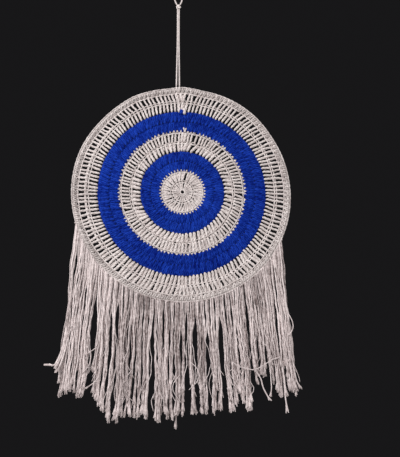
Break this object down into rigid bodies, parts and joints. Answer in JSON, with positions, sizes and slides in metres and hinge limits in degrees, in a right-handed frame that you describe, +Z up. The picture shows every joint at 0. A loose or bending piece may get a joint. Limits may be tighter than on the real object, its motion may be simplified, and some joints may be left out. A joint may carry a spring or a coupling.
{
  "type": "crochet dream catcher",
  "caption": "Round wall ornament: a yarn-covered hoop filled with rings of white and blue crochet, hung on a doubled cord, with a long swinging yarn fringe round its lower rim.",
  "frame": {"origin": "inside top of the hanging loop, where the hook takes it", "axes": "+Z up along the cord, the front of the disc faces -Y, +X to the right seen from the front"},
  "size_m": [0.3183, 0.0112, 0.5997],
  "materials": {
    "cream_yarn": "matt twisted cotton",
    "blue_yarn": "matt twisted cotton",
    "fringe_yarn": "loose cotton strands",
    "hanger_cord": "doubled cotton yarn",
    "hoop_steel": "drawn wire"
  },
  "bodies": {
    "hanging_loop": {"hanging_loop": "hanger_cord"},
    "loop_knot": {"loop_knot": "hanger_cord"},
    "hanger_cord": {"hanger_cord_left": "hanger_cord", "hanger_cord_right": "hanger_cord"},
    "disc": {"hoop": "hoop_steel", "rim_cover": "cream_yarn", "round_01_white": "cream_yarn", "round_02_white": "cream_yarn", "round_03_blue": "blue_yarn", "round_04_blue": "blue_yarn", "round_05_white": "cream_yarn", "round_06_white": "cream_yarn", "round_07_blue": "blue_yarn", "round_08_blue": "blue_yarn", "round_09_white": "cream_yarn", "round_10_white": "cream_yarn", "hanger_hitch": "hanger_cord", "fringe_knot_01": "fringe_yarn", "fringe_knot_02": "fringe_yarn", "fringe_knot_03": "fringe_yarn", "fringe_knot_04": "fringe_yarn", "fringe_knot_05": "fringe_yarn", "fringe_knot_06": "fringe_yarn", "fringe_knot_07": "fringe_yarn", "fringe_knot_08": "fringe_yarn", "fringe_knot_09": "fringe_yarn", "fringe_knot_10": "fringe_yarn", "fringe_knot_11": "fringe_yarn", "fringe_knot_12": "fringe_yarn", "fringe_knot_13": "fringe_yarn", "fringe_knot_14": "fringe_yarn", "fringe_knot_15": "fringe_yarn", "fringe_knot_16": "fringe_yarn", "fringe_knot_17": "fringe_yarn", "fringe_knot_18": "fringe_yarn", "fringe_knot_19": "fringe_yarn", "fringe_knot_20": "fringe_yarn", "fringe_knot_21": "fringe_yarn"},
    "fringe_lock_01": {"fringe_lock_01": "fringe_yarn"},
    "fringe_lock_02": {"fringe_lock_02": "fringe_yarn"},
    "fringe_lock_03": {"fringe_lock_03": "fringe_yarn"},
    "fringe_lock_04": {"fringe_lock_04": "fringe_yarn"},
    "fringe_lock_05": {"fringe_lock_05": "fringe_yarn"},
    "fringe_lock_06": {"fringe_lock_06": "fringe_yarn"},
    "fringe_lock_07": {"fringe_lock_07": "fringe_yarn"},
    "fringe_lock_08": {"fringe_lock_08": "fringe_yarn"},
    "fringe_lock_09": {"fringe_lock_09": "fringe_yarn"},
    "fringe_lock_10": {"fringe_lock_10": "fringe_yarn"},
    "fringe_lock_11": {"fringe_lock_11": "fringe_yarn"},
    "fringe_lock_12": {"fringe_lock_12": "fringe_yarn"},
    "fringe_lock_13": {"fringe_lock_13": "fringe_yarn"},
    "fringe_lock_14": {"fringe_lock_14": "fringe_yarn"},
    "fringe_lock_15": {"fringe_lock_15": "fringe_yarn"},
    "fringe_lock_16": {"fringe_lock_16": "fringe_yarn"},
    "fringe_lock_17": {"fringe_lock_17": "fringe_yarn"},
    "fringe_lock_18": {"fringe_lock_18": "fringe_yarn"},
    "fringe_lock_19": {"fringe_lock_19": "fringe_yarn"},
    "fringe_lock_20": {"fringe_lock_20": "fringe_yarn"},
    "fringe_lock_21": {"fringe_lock_21": "fringe_yarn"}
  },
  "joints": [
    {"name": "swing_sideways", "type": "hinge", "parent": "hanging_loop", "child": "loop_knot", "pos_m": [0, 0, -0.01796], "axis": [0, 1, 0], "range_deg": [-25, 25]},
    {"name": "sway_forward", "type": "hinge", "parent": "loop_knot", "child": "hanger_cord", "pos_m": [0, 0, -0.01796], "axis": [-1, 0, 0], "range_deg": [-20, 30]},
    {"name": "turn_on_cord", "type": "hinge", "parent": "hanger_cord", "child": "disc", "pos_m": [0, 0, -0.13786], "axis": [0, 0, 1], "range_deg": [-180, 180]},
    {"name": "fringe_swing_01", "type": "hinge", "parent": "disc", "child": "fringe_lock_01", "pos_m": [-0.13565, 0, -0.3604], "axis": [-1, 0, 0], "range_deg": [-45, 60]},
    {"name": "fringe_swing_02", "type": "hinge", "parent": "disc", "child": "fringe_lock_02", "pos_m": [-0.12177, 0, -0.38337], "axis": [-1, 0, 0], "range_deg": [-45, 60]},
    {"name": "fringe_swing_03", "type": "hinge", "parent": "disc", "child": "fringe_lock_03", "pos_m": [-0.1079, 0, -0.3998], "axis": [-1, 0, 0], "range_deg": [-45, 60]},
    {"name": "fringe_swing_04", "type": "hinge", "parent": "disc", "child": "fringe_lock_04", "pos_m": [-0.09402, 0, -0.41241], "axis": [-1, 0, 0], "range_deg": [-45, 60]},
    {"name": "fringe_swing_05", "type": "hinge", "parent": "disc", "child": "fringe_lock_05", "pos_m": [-0.08014, 0, -0.42232], "axis": [-1, 0, 0], "range_deg": [-45, 60]},
    {"name": "fringe_swing_06", "type": "hinge", "parent": "disc", "child": "fringe_lock_06", "pos_m": [-0.06626, 0, -0.43013], "axis": [-1, 0, 0], "range_deg": [-45, 60]},
    {"name": "fringe_swing_07", "type": "hinge", "parent": "disc", "child": "fringe_lock_07", "pos_m": [-0.05238, 0, -0.43618], "axis": [-1, 0, 0], "range_deg": [-45, 60]},
    {"name": "fringe_swing_08", "type": "hinge", "parent": "disc", "child": "fringe_lock_08", "pos_m": [-0.0385, 0, -0.44068], "axis": [-1, 0, 0], "range_deg": [-45, 60]},
    {"name": "fringe_swing_09", "type": "hinge", "parent": "disc", "child": "fringe_lock_09", "pos_m": [-0.02463, 0, -0.44378], "axis": [-1, 0, 0], "range_deg": [-45, 60]},
    {"name": "fringe_swing_10", "type": "hinge", "parent": "disc", "child": "fringe_lock_10", "pos_m": [-0.01075, 0, -0.44555], "axis": [-1, 0, 0], "range_deg": [-45, 60]},
    {"name": "fringe_swing_11", "type": "hinge", "parent": "disc", "child": "fringe_lock_11", "pos_m": [0.00313, 0, -0.44605], "axis": [-1, 0, 0], "range_deg": [-45, 60]},
    {"name": "fringe_swing_12", "type": "hinge", "parent": "disc", "child": "fringe_lock_12", "pos_m": [0.01701, 0, -0.44598], "axis": [-1, 0, 0], "range_deg": [-45, 60]},
    {"name": "fringe_swing_13", "type": "hinge", "parent": "disc", "child": "fringe_lock_13", "pos_m": [0.03089, 0, -0.44492], "axis": [-1, 0, 0], "range_deg": [-45, 60]},
    {"name": "fringe_swing_14", "type": "hinge", "parent": "disc", "child": "fringe_lock_14", "pos_m": [0.04477, 0, -0.44257], "axis": [-1, 0, 0], "range_deg": [-45, 60]},
    {"name": "fringe_swing_15", "type": "hinge", "parent": "disc", "child": "fringe_lock_15", "pos_m": [0.05865, 0, -0.43887], "axis": [-1, 0, 0], "range_deg": [-45, 60]},
    {"name": "fringe_swing_16", "type": "hinge", "parent": "disc", "child": "fringe_lock_16", "pos_m": [0.07252, 0, -0.43371], "axis": [-1, 0, 0], "range_deg": [-45, 60]},
    {"name": "fringe_swing_17", "type": "hinge", "parent": "disc", "child": "fringe_lock_17", "pos_m": [0.0864, 0, -0.42691], "axis": [-1, 0, 0], "range_deg": [-45, 60]},
    {"name": "fringe_swing_18", "type": "hinge", "parent": "disc", "child": "fringe_lock_18", "pos_m": [0.10028, 0, -0.41822], "axis": [-1, 0, 0], "range_deg": [-45, 60]},
    {"name": "fringe_swing_19", "type": "hinge", "parent": "disc", "child": "fringe_lock_19", "pos_m": [0.11416, 0, -0.40721], "axis": [-1, 0, 0], "range_deg": [-45, 60]},
    {"name": "fringe_swing_20", "type": "hinge", "parent": "disc", "child": "fringe_lock_20", "pos_m": [0.12804, 0, -0.3931], "axis": [-1, 0, 0], "range_deg": [-45, 60]},
    {"name": "fringe_swing_21", "type": "hinge", "parent": "disc", "child": "fringe_lock_21", "pos_m": [0.14191, 0, -0.3743], "axis": [-1, 0, 0], "range_deg": [-45, 60]}
  ]
}
